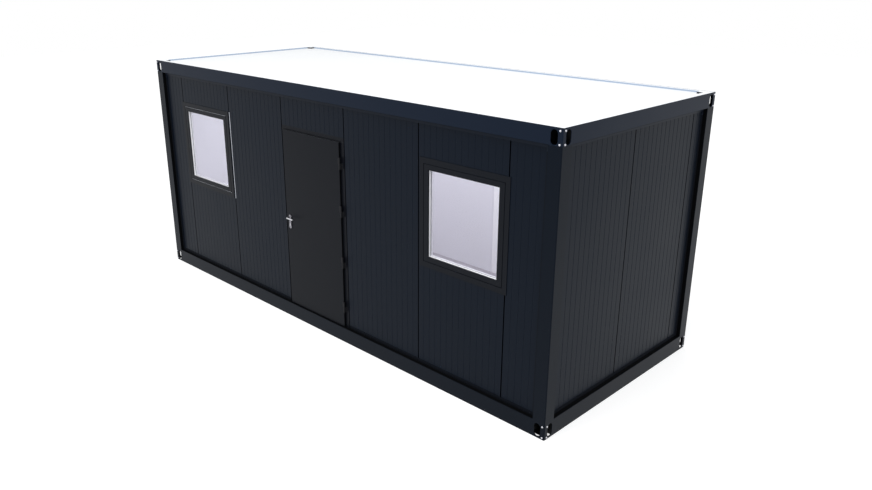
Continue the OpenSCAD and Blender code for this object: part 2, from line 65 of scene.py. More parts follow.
HALF_L, HALF_W, FOOT_TOP = box("bottom_castings")[1]
HEAD_FOOT, HEIGHT = box("top_castings")[0].z, box("top_castings")[1].z
ROOF_X, ROOF_Y, ROOF_TOP = box("roof_sheet")[1]
PANELS_LOW, PANELS_HIGH = box("front_plain_panels")
LEAF_LOW, LEAF_HIGH = box("door_leaf")
GLASS_BACK = box("right_window_glass")[1].y
FRAME_LOW, FRAME_HIGH = box("right_window_frame")
FLANGE_LOW, FLANGE_HIGH = box("right_window_flange")
HINGE_HIGH = box("hinge_frame_halves")[1]
LEAF_HINGES_LOW = box("hinge_leaf_halves")[0]
PLATES_LOW, PLATES_HIGH = box("handle_plates")
LOCK_LOW, LOCK_HIGH = box("lock_cylinder")

WALL_FACE, WALL_BACK = HALF_W + PANELS_LOW.y, HALF_W + PANELS_HIGH.y
ROOM_X, ROOM_Y = HALF_L - WALL_BACK, HALF_W - WALL_BACK

# Measures of the cabin that no box gives. SLACK keeps the edge of a colour off the surfaces.

SLACK = 0.0005
CASTING_WALL = 0.006
# How far the seals' lip stands before the wall, and the height from which it has the wall's gloss and a
# tone lightened by painted light
SEAL_LIP, UPPER_LIP = 0.003, 2.40
# Depths into a joint: white lining from the room's side, and painted shade in black from outside
JOINT_WHITE, JOINT_BLACK = 0.021, 0.0019
# Width of the dark rim round the white lips, on the long sides and on the ends
WHITE_EDGE, WHITE_EDGE_END = 0.012, 0.002
# Depth of the beads' outer face behind the window frame's, and where the painted light on the back wall
# starts
BEAD_FACE, BRIGHT_BACK = 0.0085, 0.5
HINGE_HEIGHTS = (0.384, 0.870, 1.408, 1.894)
HINGE_HALF, HINGE_PLATE = 0.055, 0.004
LOCK_RADIUS = 0.0085


# Shader maths

class Value:
    """An output socket. Arithmetic on it adds Math nodes."""

    def __init__(self, tree, socket):
        self.tree, self.socket = tree, socket

    def math(self, operation, *values):
        node = self.tree.nodes.new("ShaderNodeMath")
        node.operation = operation
        for target, value in zip(node.inputs, values):
            plug(self.tree, target, value)
        return Value(self.tree, node.outputs[0])

    def __radd__(self, other):
        return self.math("ADD", other, self)

    def __sub__(self, other):
        return self.math("SUBTRACT", self, other)

    def __mul__(self, other):
        return self.math("MULTIPLY", self, other)

    def __rmul__(self, other):
        return self.math("MULTIPLY", other, self)

    def __lt__(self, other):
        return self.math("LESS_THAN", self, other)

    def __gt__(self, other):
        return self.math("GREATER_THAN", self, other)

    def __abs__(self):
        return self.math("ABSOLUTE", self)

    def either(self, other):
        return self.math("MAXIMUM", self, other)


def between(low, high, share):
    """The number that lies at a share, 0 to 1, of the way from low to high."""
    return low + (high - low) * share


def plug(tree, target, value):
    """Links a Value to an input, or sets the input to a number, a colour or a vector."""
    if isinstance(value, Value):
        tree.links.new(value.socket, target)
    elif target.type == "RGBA":
        target.default_value = (*value, 1.0)[:4]
    else:
        target.default_value = value


# Sockets of a Mix node, which has the same names more than once
MIX_FACTOR, MIX_FIRST, MIX_SECOND, MIX_RESULT = 0, 6, 7, 2


def mix(tree, factor, first, second):
    """Mixes two colours."""
    node = tree.nodes.new("ShaderNodeMix")
    node.data_type = "RGBA"
    plug(tree, node.inputs[MIX_FACTOR], factor)
    plug(tree, node.inputs[MIX_FIRST], first)
    plug(tree, node.inputs[MIX_SECOND], second)
    return Value(tree, node.outputs[MIX_RESULT])


PREFIX = "cabin_"


class Finish:
    """A new material with one Principled shader, and a method that adds any other node."""

    def __init__(self, name, **constants):
        self.material = bpy.data.materials.new(PREFIX + name)
        self.material.use_nodes = True
        self.tree = self.material.node_tree
        self.shader = self.tree.nodes["Principled BSDF"]
        for socket, value in constants.items():
            plug(self.tree, self.shader.inputs[socket.replace("_", " ")], value)

    def add(self, kind, out=0, **inputs):
        node = self.tree.nodes.new("ShaderNode" + kind)
        for socket, value in inputs.items():
            plug(self.tree, node.inputs[socket.replace("_", " ")], value)
        return Value(self.tree, node.outputs[out])

    def place(self):
        """The point in the cabin's frame, in metres: the vector and its x, y and z."""
        point = self.add("TexCoord", out="Object")
        return (point, *self.split(point))

    def split(self, vector):
        node = self.tree.nodes.new("ShaderNodeSeparateXYZ")
        plug(self.tree, node.inputs[0], vector)
        return tuple(Value(self.tree, socket) for socket in node.outputs)

    def noise(self, point, scale, detail=2.0):
        return self.add("TexNoise", Vector=point, Scale=scale, Detail=detail)

    def shade(self, colour, tone):
        """A colour times a number."""
        node = self.tree.nodes.new("ShaderNodeVectorMath")
        node.operation = "SCALE"
        if isinstance(colour, Value):
            plug(self.tree, node.inputs[0], colour)
        else:
            node.inputs[0].default_value = colour
        plug(self.tree, node.inputs["Scale"], tone)
        return Value(self.tree, node.outputs[0])

    def feed(self, socket, value):
        plug(self.tree, self.shader.inputs[socket], value)

    def bump(self, height, distance):
        self.feed("Normal", self.add("Bump", Height=height, Distance=distance))


class Coat(Finish):
    """Paint or a moulded skin: a fine grain, and a slow drift in tone and gloss."""

    DRIFT_SCALE, DRIFT_DETAIL, ROUGHNESS_DRIFT = 1.7, 3.0, 0.05

    def __init__(self, name, colour, roughness, index=1.5, tint=(1, 1, 1), grain=900.0,
                 depth=0.00004, drift=0.08):
        super().__init__(name, IOR=index, Specular_Tint=tint)
        self.point, self.x, self.y, self.z = self.place()
        slow = self.noise(self.point, self.DRIFT_SCALE, self.DRIFT_DETAIL)
        self.base = self.shade(colour, between(1.0 - drift, 1.0 + drift, slow))
        self.feed("Base Color", self.base)
        smoothest, roughest = roughness - self.ROUGHNESS_DRIFT, roughness + self.ROUGHNESS_DRIFT
        self.feed("Roughness", between(smoothest, roughest, slow))
        self.bump(self.noise(self.point, grain, detail=1.0), depth)

    def where(self, mask, colour):
        """Another colour where the mask is 1."""
        self.base = mix(self.tree, mask, self.base, colour)
        self.feed("Base Color", self.base)
        return self


# Finishes

PAINT_INDEX, DOOR_INDEX = 1.185, 1.17
PAINT_ROUGHNESS, RUBBER_ROUGHNESS = 0.36, 0.70


def frame_paint(looks):
    """Anthracite on the steel, with painted sky light a tone lighter and bluer on the top rails and
    castings, and painted shade in black inside the castings.
    The roof's white coat runs over the lips up to a dark rim, and painted shade makes it darker and
    bluer on the lips' inner faces."""
    coat = Coat("frame_paint", looks.steel, PAINT_ROUGHNESS, PAINT_INDEX, looks.gloss)
    # Painted sky light: the top rails and castings get a lighter, bluer tone of the frame paint.
    coat.where(coat.z > HEAD_FOOT - SLACK, looks.rail_painted_sky_light)
    across, along = abs(coat.y), abs(coat.x)
    # Painted shade: the hollows inside the corner castings are coloured black, where little light
    # reaches.
    wall = CASTING_WALL - SLACK
    low = (coat.z > wall) * (coat.z < FOOT_TOP - wall)
    high = (coat.z > HEAD_FOOT + wall) * (coat.z < HEIGHT - wall)
    behind = (along < HALF_L - wall) * (across < HALF_W - wall)
    coat.where(behind * low.either(high), looks.rubber_and_painted_shade)
    inner_face = (abs(across - ROOF_Y) < 2 * SLACK).either(abs(along - ROOF_X) < 2 * SLACK)
    # Painted shade: the white coat on the lips' inner faces is given a darker, bluer tone.
    coat.where(inner_face * behind * (coat.z > ROOF_TOP), looks.lip_inner_painted_shade)
    within_rim = (along < HALF_L - WHITE_EDGE_END) * (across < HALF_W - WHITE_EDGE)
    return coat.where((coat.z > HEIGHT - SLACK) * within_rim, looks.lip_white)


def panel_paint(looks):
    """Coil coated sheet: anthracite outside, with painted shade in black in the joints deeper than the
    ribs, and white inside the room, with painted light making it brighter on the right of the back
    wall."""
    coat = Coat("panel_paint", looks.panel, PAINT_ROUGHNESS, PAINT_INDEX, looks.gloss, grain=700.0)
    inside = (abs(coat.x) < ROOM_X + JOINT_WHITE) * (abs(coat.y) < ROOM_Y + JOINT_WHITE)
    deep = WALL_FACE + JOINT_BLACK
    # Painted shade: black on the faces in the joints that lie deeper than JOINT_BLACK behind the outer
    # face.
    painted_joint_shade = (abs(coat.x) < HALF_L - deep) * (abs(coat.y) < HALF_W - deep)
    coat.where(painted_joint_shade, looks.rubber_and_painted_shade).where(inside, looks.lining)
    # Painted light: the back wall right of BRIGHT_BACK gets a whiter tone than the rest of the lining.
    return coat.where(inside * (coat.x > BRIGHT_BACK) * (coat.y > 0), looks.bright)


def door_paint(looks):
    """Powder coat, a little warmer than the walls, with painted light making the leaf's top edge
    lighter.
    """
    coat = Coat("door_paint", looks.leaf, roughness=0.38, index=DOOR_INDEX, tint=looks.gloss,
                grain=1100.0, depth=0.00006)
    below, above = 0.0008, 0.0045
    # Painted light: the leaf's top edge and the strip on it get a lighter tone, as if lit from above.
    head = (coat.z > LEAF_HIGH.z - below) * (coat.z < LEAF_HIGH.z + above)
    return coat.where(head, looks.leaf_top_painted_light)


def bead_plastic(looks):
    """Bright white beads, with the window's foil on their outer face."""
    coat = Coat("bead_plastic", looks.bright, roughness=0.25, grain=1800.0, depth=0.00001,
                drift=0.01)
    return coat.where(coat.y < FRAME_LOW.y + BEAD_FACE, looks.foil)


def window_foil(looks):
    """Anthracite foil outside, white plastic from the panes inwards."""
    coat = Coat("window_foil", looks.foil, PAINT_ROUGHNESS, PAINT_INDEX, grain=1500.0,
                depth=0.00002)
    return coat.where(coat.y > GLASS_BACK - SLACK, looks.lining)


def seal_rubber(looks):
    """Black rubber. The lip that lies on the panels is greyer than the leg behind the frame,
    and under the top rails it has a wall's gloss and painted light, a tone lighter than the wall that
    undoes the shadow there."""
    coat = Coat("seal_rubber", looks.rubber_and_painted_shade, RUBBER_ROUGHNESS, PAINT_INDEX, looks.gloss,
                grain=2500.0, depth=0.00003, drift=0.15)
    face = WALL_FACE - SEAL_LIP - SLACK
    lip = (abs(coat.x) < HALF_L - face) * (abs(coat.y) < HALF_W - face)
    # Painted light: under the top rails the lip is lighter than the wall, which cancels the shadow cast
    # there.
    upper = lip * (coat.z > UPPER_LIP)
    coat.feed("Roughness", between(RUBBER_ROUGHNESS, PAINT_ROUGHNESS, upper))
    return coat.where(lip, looks.lip).where(upper, looks.upper_lip_painted_light)


def plate_metal(looks):
    """The handle's plates: the lever's metal in a duller, darker finish."""
    finish = Finish("plate_metal", Metallic=1.0)
    point, *_ = finish.place()
    grain = finish.noise(point, scale=500.0, detail=1.0)
    finish.feed("Base Color", finish.shade(looks.plate, between(0.94, 1.06, grain)))
    finish.feed("Roughness", between(0.34, 0.44, grain))
    return finish


def zinc_sheet(looks):
    """Galvanised sheet: crystals of differing brightness."""
    finish = Finish("zinc_sheet", Metallic=1.0)
    point, *_ = finish.place()
    cell = finish.add("TexVoronoi", out="Color", Vector=point, Scale=70.0)
    crystal = finish.add("RGBToBW", Color=cell)
    finish.feed("Base Color", finish.shade(looks.zinc, between(0.75, 1.15, crystal)))
    finish.feed("Roughness", between(0.30, 0.55, crystal))
    return finish


def floor_finish(looks):
    """Sheet floor with a fine, darker fleck."""
    coat = Coat("floor_finish", looks.floor, roughness=0.45, grain=260.0, depth=0.00003)
    threshold, strength, darkness = 0.62, 0.35, 0.4
    fleck = coat.noise(coat.point, scale=420.0) > threshold
    return coat.where(fleck * strength, tuple(darkness * part for part in looks.floor))


def handle_metal(looks):
    """Satin metal with a fine grain along the cabin."""
    finish = Finish("handle_metal", Metallic=1.0)
    point, *_ = finish.place()
    stretched = finish.add("Mapping", Vector=point, Scale=(60.0, 900.0, 900.0))
    lines = finish.noise(stretched, scale=1.0)
    finish.feed("Base Color", finish.shade(looks.handle, between(0.92, 1.06, lines)))
    finish.feed("Roughness", between(0.22, 0.34, lines))
    finish.bump(lines, 0.00002)
    return finish


def clear_glass(looks):
    """Float glass, its tint paler here and there."""
    finish = Finish("clear_glass", IOR=1.45, Transmission_Weight=1.0, Roughness=0.0)
    point, *_ = finish.place()
    haze = finish.noise(point, scale=3.0)
    paler = (0.97, 0.97, 1.0)
    finish.feed("Base Color", mix(finish.tree, haze, looks.glass, paler))
    return finish


def make_finishes(looks):
    """Every finish once. The last five have one colour and no mask."""
    frame_paint(looks)
    panel_paint(looks)
    door_paint(looks)
    bead_plastic(looks)
    window_foil(looks)
    seal_rubber(looks)
    zinc_sheet(looks)
    floor_finish(looks)
    handle_metal(looks)
    plate_metal(looks)
    clear_glass(looks)
    Coat("hinge_paint", looks.hinge, roughness=0.34, index=PAINT_INDEX, grain=1300.0)
    Coat("white_plastic", looks.lining, roughness=0.25, grain=1800.0, depth=0.00001, drift=0.02)
    Coat("ceiling_lining", looks.lining, roughness=0.45, grain=600.0, depth=0.00003, drift=0.02)
    Coat("roof_coat", looks.roof, roughness=0.55, grain=350.0, depth=0.0001, drift=0.02)
    # The light line beside the left window, and painted highlights along its grooves.
    Coat("light_sealant_and_highlights", looks.sealant, roughness=0.5, grain=1600.0, drift=0.05)


WORDS_OF_FINISH = {
    "panel_paint": ("panel",), "roof_coat": ("roof_sheet",), "ceiling_lining": ("ceiling",),
    "floor_finish": ("floor_board",), "zinc_sheet": ("underfloor",),
    "seal_rubber": ("wall_seals",), "bead_plastic": ("beads",), "clear_glass": ("glass",),
    "window_foil": ("window_frame", "window_flange"), "door_paint": ("door_leaf", "door_frame"),
    "hinge_paint": ("hinge_",),
    "plate_metal": ("handle_plates",), "handle_metal": ("lock_", "_lever", "door_threshold"),
}


def finish_for(node):
    for finish, words in WORDS_OF_FINISH.items():
        if any(word in node for word in words):
            return finish
    return "frame_paint"


# Mesh helpers. FACING: a face looks along an axis when its normal's share of it is larger.

FACING = 0.9


def choose(obj):
    """Makes the object the only one chosen."""
    bpy.ops.object.select_all(action="DESELECT")
    obj.select_set(True)
    bpy.context.view_layer.objects.active = obj


def bake(obj):
    choose(obj)
    bpy.ops.object.transform_apply(location=True, rotation=True, scale=True)
    return obj


def settle(obj, name, body, finish):
    """Bakes the place into the mesh, names the piece and hands it to its body."""
    bake(obj)
    obj.name = obj.data.name = name
    obj.data.materials.clear()
    obj.data.materials.append(bpy.data.materials[PREFIX + finish])
    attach(obj, body)
    return obj


def edit(obj, wanted):
    """Opens edit mode with only the faces chosen that wanted() accepts."""
    choose(obj)
    bpy.ops.object.mode_set(mode="EDIT")
    bpy.ops.mesh.select_mode(type="FACE")
    bpy.ops.mesh.select_all(action="DESELECT")
    bpy.ops.object.mode_set(mode="OBJECT")
    for face in obj.data.polygons:
        face.select = bool(wanted(face))
    bpy.ops.object.mode_set(mode="EDIT")


def leave_edit():
    bpy.ops.object.mode_set(mode="OBJECT")


def bevel(obj, width, segments=2):
    choose(obj)
    modifier = obj.modifiers.new("edge", "BEVEL")
    modifier.width = width
    modifier.segments = segments
    modifier.limit_method = "ANGLE"
    bpy.ops.object.modifier_apply(modifier=modifier.name)


def smooth(obj, angle=40):
    choose(obj)
    bpy.ops.object.shade_smooth_by_angle(angle=math.radians(angle))


def join(pieces):
    choose(pieces[0])
    for piece in pieces:
        piece.select_set(True)
    bpy.ops.object.join()
    return pieces[0]


def copies(pattern, places):
    """One object made of the pattern's mesh at each place, a list of matrices."""
    parts = []
    for place in places:
        part = pattern.copy()
        part.data = pattern.data.copy()
        part.data.transform(place)
        bpy.context.scene.collection.objects.link(part)
        parts.append(part)
    bpy.data.objects.remove(pattern)
    return join(parts)


def at(place, direction):
    """The matrix that moves to a place and turns +Z to a direction."""
    turn = Vector(direction).to_track_quat("Z", "Y").to_matrix().to_4x4()
    return Matrix.Translation(place) @ turn


def disc(radius, height, sides):
    """Plain round disc that stands on z = 0."""
    bpy.ops.mesh.primitive_cylinder_add(vertices=sides, radius=radius, depth=height,
                                        location=(0, 0, height / 2))
    return bake(bpy.context.object)


def screw_head(radius, height, sides=20, crown=0.35):
    """Low domed head that stands on z = 0 and looks along +Z. Its dome rises in two steps."""
    head = disc(radius, height, sides)
    edit(head, lambda face: face.normal.z > FACING)
    rise, rounding = height * crown, height * 0.18
    for inset, share in ((0.28, 1.0), (0.34, 0.35)):
        bpy.ops.mesh.inset(thickness=radius * inset)
        bpy.ops.transform.translate(value=(0, 0, rise * share))
    leave_edit()
    bevel(head, rounding)
    smooth(head, angle=50)
    return head


def countersunk_head(radius, height, sides=18):
    """Flat head with a socket sunk in its middle, on z = 0 and looking along +Z."""
    head = disc(radius, height, sides)
    edit(head, lambda face: face.normal.z > FACING)
    socket, sink, rounding = radius * 0.5, height * 0.7, height * 0.15
    bpy.ops.mesh.inset(thickness=radius - socket)
    bpy.ops.mesh.extrude_region_move(TRANSFORM_OT_translate={"value": (0, 0, -sink)})
    leave_edit()
    bevel(head, rounding)
    smooth(head, angle=35)
    return head


def bar(low, high, edge):
    """Strip between two corners with a shallow groove down both broad sides."""
    low, high = Vector(low), Vector(high)
    size = high - low
    bpy.ops.mesh.primitive_cube_add(size=1, location=(low + high) / 2)
    strip = bpy.context.object
    strip.scale = size
    bake(strip)
    thin = min(range(3), key=lambda axis: size[axis])
    edit(strip, lambda face: abs(face.normal[thin]) > FACING)
    bpy.ops.mesh.inset(thickness=edge, use_individual=True)
    groove, rounding = size[thin] * 0.2, min(size) * 0.12
    for sign in (-1, 1):
        leave_edit()
        broad = sorted(strip.data.polygons, key=lambda face: -face.area)
        middle = [face.index for face in broad if face.normal[thin] * sign > FACING][:1]
        edit(strip, lambda face: face.index in middle)
        shift = [0.0, 0.0, 0.0]
        shift[thin] = -sign * groove
        bpy.ops.transform.translate(value=shift)
    leave_edit()
    bevel(strip, rounding)
    smooth(strip)
    return strip


def ring(size_x, size_z, band, depth, edge):
    """Rectangular frame round the origin that reaches from y = 0 to y = -depth."""
    bpy.ops.mesh.primitive_plane_add(size=1, rotation=(math.radians(90), 0, 0))
    frame_ring = bpy.context.object
    frame_ring.scale = (size_x, size_z, 1)
    bake(frame_ring)
    edit(frame_ring, lambda face: True)
    bpy.ops.mesh.inset(thickness=band)
    bpy.ops.mesh.delete(type="FACE")
    bpy.ops.mesh.select_all(action="SELECT")
    bpy.ops.mesh.extrude_region_move(TRANSFORM_OT_translate={"value": (0, -depth, 0)})
    bpy.ops.mesh.select_all(action="SELECT")
    bpy.ops.mesh.normals_make_consistent(inside=False)
    leave_edit()
    bevel(frame_ring, edge)
    smooth(frame_ring)
    return frame_ring


# Settings

def colour_setting(name, description, default):
    return bpy.props.FloatVectorProperty(name=name, description=description, default=default,
                                         subtype="COLOR", size=3, min=0.0, max=1.0)


def length_setting(name, description, default):
    return bpy.props.FloatProperty(name=name, description=description, default=default,
                                   unit="LENGTH")


def light_setting(name, description, default):
    return bpy.props.FloatProperty(name=name, description=description, default=default)


class CabinLooks(bpy.types.PropertyGroup):
    """Colours of the cabin's finishes."""
    gloss: colour_setting("Gloss", "Tint of the light that the paints mirror", (0.82, 0.91, 1.0))
    steel: colour_setting("Frame", "Paint on the steel frame", (0.0018, 0.0042, 0.0095))
    # Painted sky light: the frame paint a tone lighter and bluer on the top rails and castings.
    rail_painted_sky_light: colour_setting("Top rails", "Paint on the top rails and castings",
                         (0.0065, 0.0120, 0.0255))
    lip_white: colour_setting("Roof lip", "White coat on the lips of the top rails",
                              (0.90, 0.92, 0.95))
    # Painted shade: the roof's white coat, darker and bluer, on the inner faces of the lips.
    lip_inner_painted_shade: colour_setting("Lip's inner face", "Bluer coat on the inner faces of the lips",
                              (0.40, 0.48, 0.60))
    # Painted light: lighter than the wall, which cancels the shadow under the top rails.
    upper_lip_painted_light: colour_setting("Upper seal lip", "Lip of the seals under the top rails",
                              (0.010, 0.014, 0.024))
    panel: colour_setting("Panels", "Outer sheet of the walls", (0.0030, 0.0060, 0.0130))
    leaf: colour_setting("Door", "Paint on the door leaf", (0.0055, 0.0062, 0.0092))
    # Painted light: the door paint made lighter on the leaf's top edge, as if lit from above.
    leaf_top_painted_light: colour_setting("Leaf edge", "Paint on the top edge of the door leaf",
                              (0.020, 0.021, 0.025))
    # Painted light: besides the beads' own white, this whiter tone is painted on the right part of the
    # back wall.
    bright: colour_setting("Bright lining", "White of the beads and of the brighter back panels",
                           (0.95, 0.955, 0.975))
    foil: colour_setting("Window frames", "Outer foil of the windows", (0.0050, 0.0066, 0.0105))
    hinge: colour_setting("Hinges", "Paint on the hinges", (0.0170, 0.0175, 0.0200))
    # Painted shade: besides the seals' own black, this colour is painted into the wall joints, the
    # castings' hollows and the key slots.
    rubber_and_painted_shade: colour_setting("Seals", "Rubber seals and the dark of the joints",
                           (0.0010, 0.0010, 0.0012))
    lip: colour_setting("Seal lip", "Lip of the seals on the panels", (0.0040, 0.0050, 0.0080))
    lining: colour_setting("Lining", "White lining and window plastic", (0.79, 0.785, 0.84))
    roof: colour_setting("Roof", "White roof coating", (0.90, 0.91, 0.92))
    # Painted highlight: this light colour is the line beside the left window's joint and also the
    # glints painted along its grooves.
    sealant: colour_setting("Sealant", "Light sealant beside the left window", (0.62, 0.64, 0.70))
    floor: colour_setting("Floor", "Sheet floor", (0.31, 0.285, 0.33))
    zinc: colour_setting("Zinc", "Galvanised sheet", (0.50, 0.52, 0.54))
    handle: colour_setting("Lever", "Satin metal of the lever", (0.62, 0.62, 0.65))
    plate: colour_setting("Plates", "Duller metal of the handle's plates", (0.24, 0.235, 0.26))
    glass: colour_setting("Glass", "Tint of the panes", (0.93, 0.93, 0.985))


class CabinSizes(bpy.types.PropertyGroup):
    """Sizes of the pieces that are added to the solids."""
    bolt_radius: length_setting("Bolt radius", "Radius of the white heads on the castings", 0.0080)
    bolt_height: length_setting("Bolt height", "Height of the white heads", 0.006)
    stop_seal: length_setting("Stop seal", "Thickness of the seal on the door stop", 0.0035)
    edge_seal: length_setting("Edge seal", "Thickness of the strip on the leaf's edge", 0.0015)
    screw_radius: length_setting("Screw radius", "Radius of the hinge screws", 0.0034)
    sealant_width: length_setting("Sealant width", "Width of the light sealant line", 0.008)


class CabinLight(bpy.types.PropertyGroup):
    """Strength of the lights."""
    sky: light_setting("Sky", "Even light from the backdrop", 0.75)
    key: light_setting("Key", "Soft lamp above the front, in watts", 420.0)
    room: light_setting("Room", "Soft lamp in the room, in watts", 53.0)


# Operators

class CABIN_OT_finishes(bpy.types.Operator):
    """Give every solid its finish"""
    bl_idname, bl_label = "cabin.finishes", "Finishes"

    def execute(self, context):
        make_finishes(context.scene.cabin_looks)
        for name, obj in NODES.items():
            material = bpy.data.materials[PREFIX + finish_for(name)]
            if not obj.data.materials:
                obj.data.materials.append(material)
            for index in range(len(obj.data.materials)):
                obj.data.materials[index] = material
        return {"FINISHED"}


class CABIN_OT_casting_bolts(bpy.types.Operator):
    """Set the white bolt heads into the corner castings"""
    bl_idname, bl_label = "cabin.casting_bolts", "Casting bolts"

    HEIGHTS = (0.019, 0.122, 2.475, 2.578)
    FRONT_EDGE, END_EDGE = 0.022, 0.030

    def execute(self, context):
        sizes = context.scene.cabin_sizes
        places = []
        for sx in (-1, 1):
            for sy in (-1, 1):
                for z in self.HEIGHTS:
                    places.append(at((sx * (HALF_L - self.FRONT_EDGE), sy * HALF_W, z), (0, sy, 0)))
                    places.append(at((sx * HALF_L, sy * (HALF_W - self.END_EDGE), z), (sx, 0, 0)))
        heads = copies(screw_head(sizes.bolt_radius, sizes.bolt_height), places)
        settle(heads, "casting_bolt_heads", "cabin", "white_plastic")
        return {"FINISHED"}


class CABIN_OT_window_sealant_and_highlights(bpy.types.Operator):
    """Run a light sealant line beside the left window, and painted highlights along its upper and lower
    groove
    """
    bl_idname, bl_label = "cabin.window_sealant", "Window sealant"

    JOINT_EDGE = -1.494
    PROUD = 0.003
    GROOVE, GROOVE_LINE = 0.006, 0.0025
    JOINT_INSET, GROOVE_INSET = 0.25, 0.2

    def execute(self, context):
        width = context.scene.cabin_sizes.sealant_width
        face = -HALF_W + WALL_FACE
        line = bar((self.JOINT_EDGE, face - self.PROUD, FLANGE_LOW.z),
                   (self.JOINT_EDGE + width, face, FLANGE_HIGH.z), width * self.JOINT_INSET)
        settle(line, "left_joint_sealant", "cabin", "light_sealant_and_highlights")

        # Painted highlights: the light lines in the upper and lower groove stand in for the glints on
        # the frame's edges.
        inset = (self.GROOVE - self.GROOVE_LINE) / 2
        lines = []
        for z in (FRAME_HIGH.z + inset, FRAME_LOW.z - inset - self.GROOVE_LINE):
            lines.append(bar((-FRAME_HIGH.x, face - self.PROUD, z),
                             (-FRAME_LOW.x, face, z + self.GROOVE_LINE),
                             self.GROOVE_LINE * self.GROOVE_INSET))
        settle(join(lines), "left_window_painted_highlights", "cabin", "light_sealant_and_highlights")
        return {"FINISHED"}


class CABIN_OT_joint_covers(bpy.types.Operator):
    """Cover the wall joints inside the room with white strips"""
    bl_idname, bl_label = "cabin.joint_covers", "Joint covers"

    BACK_JOINTS = (-2.5, -1.5, -0.5, 0.5, 1.5, 2.5)
    END_JOINTS = (-0.104, 0.896)
    HALF_STRIP, THICK, EDGE = 0.015, 0.002, 0.004
    FOOT, HEAD = 0.152, 2.492

    def execute(self, context):
        strips = []
        for x in self.BACK_JOINTS:
            strips.append(bar((x - self.HALF_STRIP, ROOM_Y - self.THICK, self.FOOT),
                              (x + self.HALF_STRIP, ROOM_Y, self.HEAD), self.EDGE))
        for side in (-1, 1):
            near, far = sorted((side * ROOM_X, side * (ROOM_X - self.THICK)))
            for y in self.END_JOINTS:
                strips.append(bar((near, y - self.HALF_STRIP, self.FOOT),
                                  (far, y + self.HALF_STRIP, self.HEAD), self.EDGE))
        settle(join(strips), "room_joint_covers", "cabin", "white_plastic")
        return {"FINISHED"}


class CABIN_OT_door_seals(bpy.types.Operator):
    """Lay the seals on the door's stop and the leaf's hinge edge, whose black is also painted shade in
    the gaps round the leaf, and a strip on its head
    """
    bl_idname, bl_label = "cabin.door_seals", "Door seals"

    STOP_GAP, INSET, BAND, SOFTNESS = 0.005, 0.003, 0.012, 0.3
    EDGE, STRIP_INSET = 0.002, 0.004
    HEAD_SET, HEAD_RISE = 0.018, 0.003

    def execute(self, context):
        sizes = context.scene.cabin_sizes
        stop = LEAF_HIGH.y + self.STOP_GAP
        span = LEAF_HIGH - LEAF_LOW
        middle = (LEAF_HIGH + LEAF_LOW) / 2
        # Painted shade: a seal that real doors have, whose black also stands in for the shade in the
        # gap round the leaf.
        seal = ring(span.x - 2 * self.INSET, span.z - 2 * self.INSET, self.BAND, sizes.stop_seal,
                    sizes.stop_seal * self.SOFTNESS)
        seal.location = (middle.x, stop, middle.z)
        settle(seal, "door_stop_seal_and_shade", "cabin", "seal_rubber")
        # Painted shade: a real edge seal, whose black also gives the gap at the leaf's hinge edge its
        # shade.
        strip = bar((LEAF_HIGH.x, LEAF_LOW.y + self.EDGE, LEAF_LOW.z + self.EDGE),
                    (LEAF_HIGH.x + sizes.edge_seal, LEAF_HIGH.y - self.EDGE, LEAF_HIGH.z - self.EDGE),
                    self.STRIP_INSET)
        settle(strip, "leaf_edge_seal_and_shade", "door", "seal_rubber")
        # The head strip takes the painted light of door_paint's lighter top-edge tone.
        head = bar((LEAF_LOW.x + self.EDGE, LEAF_LOW.y + self.HEAD_SET, LEAF_HIGH.z),
                   (LEAF_HIGH.x - self.EDGE, LEAF_HIGH.y - self.EDGE, LEAF_HIGH.z + self.HEAD_RISE),
                   self.EDGE)
        settle(head, "leaf_head_strip", "door", "door_paint")
        return {"FINISHED"}


class CABIN_OT_hinge_fittings(bpy.types.Operator):
    """Cap the hinges and screw their plates down"""
    bl_idname, bl_label = "cabin.hinge_fittings", "Hinge fittings"

    CAP_RADIUS, CAP_HEIGHT, SCREW_HEIGHT = 0.0072, 0.0022, 0.0012
    SCREW_RISES = (0.014, 0.042)

    def execute(self, context):
        radius = context.scene.cabin_sizes.screw_radius
        leaf_plate = (LEAF_HINGES_LOW.x + 2 * radius, LEAF_LOW.y - HINGE_PLATE)
        jamb_plate = (HINGE_HIGH.x - 2 * radius, HINGE_HIGH.y - HINGE_PLATE)
        for body, side, (x, y) in (("door", 1, leaf_plate), ("cabin", -1, jamb_plate)):
            places = [at((HINGE_X, HINGE_Y, z + side * HINGE_HALF), (0, 0, side))
                      for z in HINGE_HEIGHTS]
            cap = copies(screw_head(self.CAP_RADIUS, self.CAP_HEIGHT), places)
            settle(cap, "hinge_caps_" + body, body, "hinge_paint")
            places = [at((x, y, z + side * rise), (0, -1, 0))
                      for z in HINGE_HEIGHTS for rise in self.SCREW_RISES]
            heads = copies(countersunk_head(radius, self.SCREW_HEIGHT), places)
            settle(heads, "hinge_screws_" + body, body, "hinge_paint")
        return {"FINISHED"}


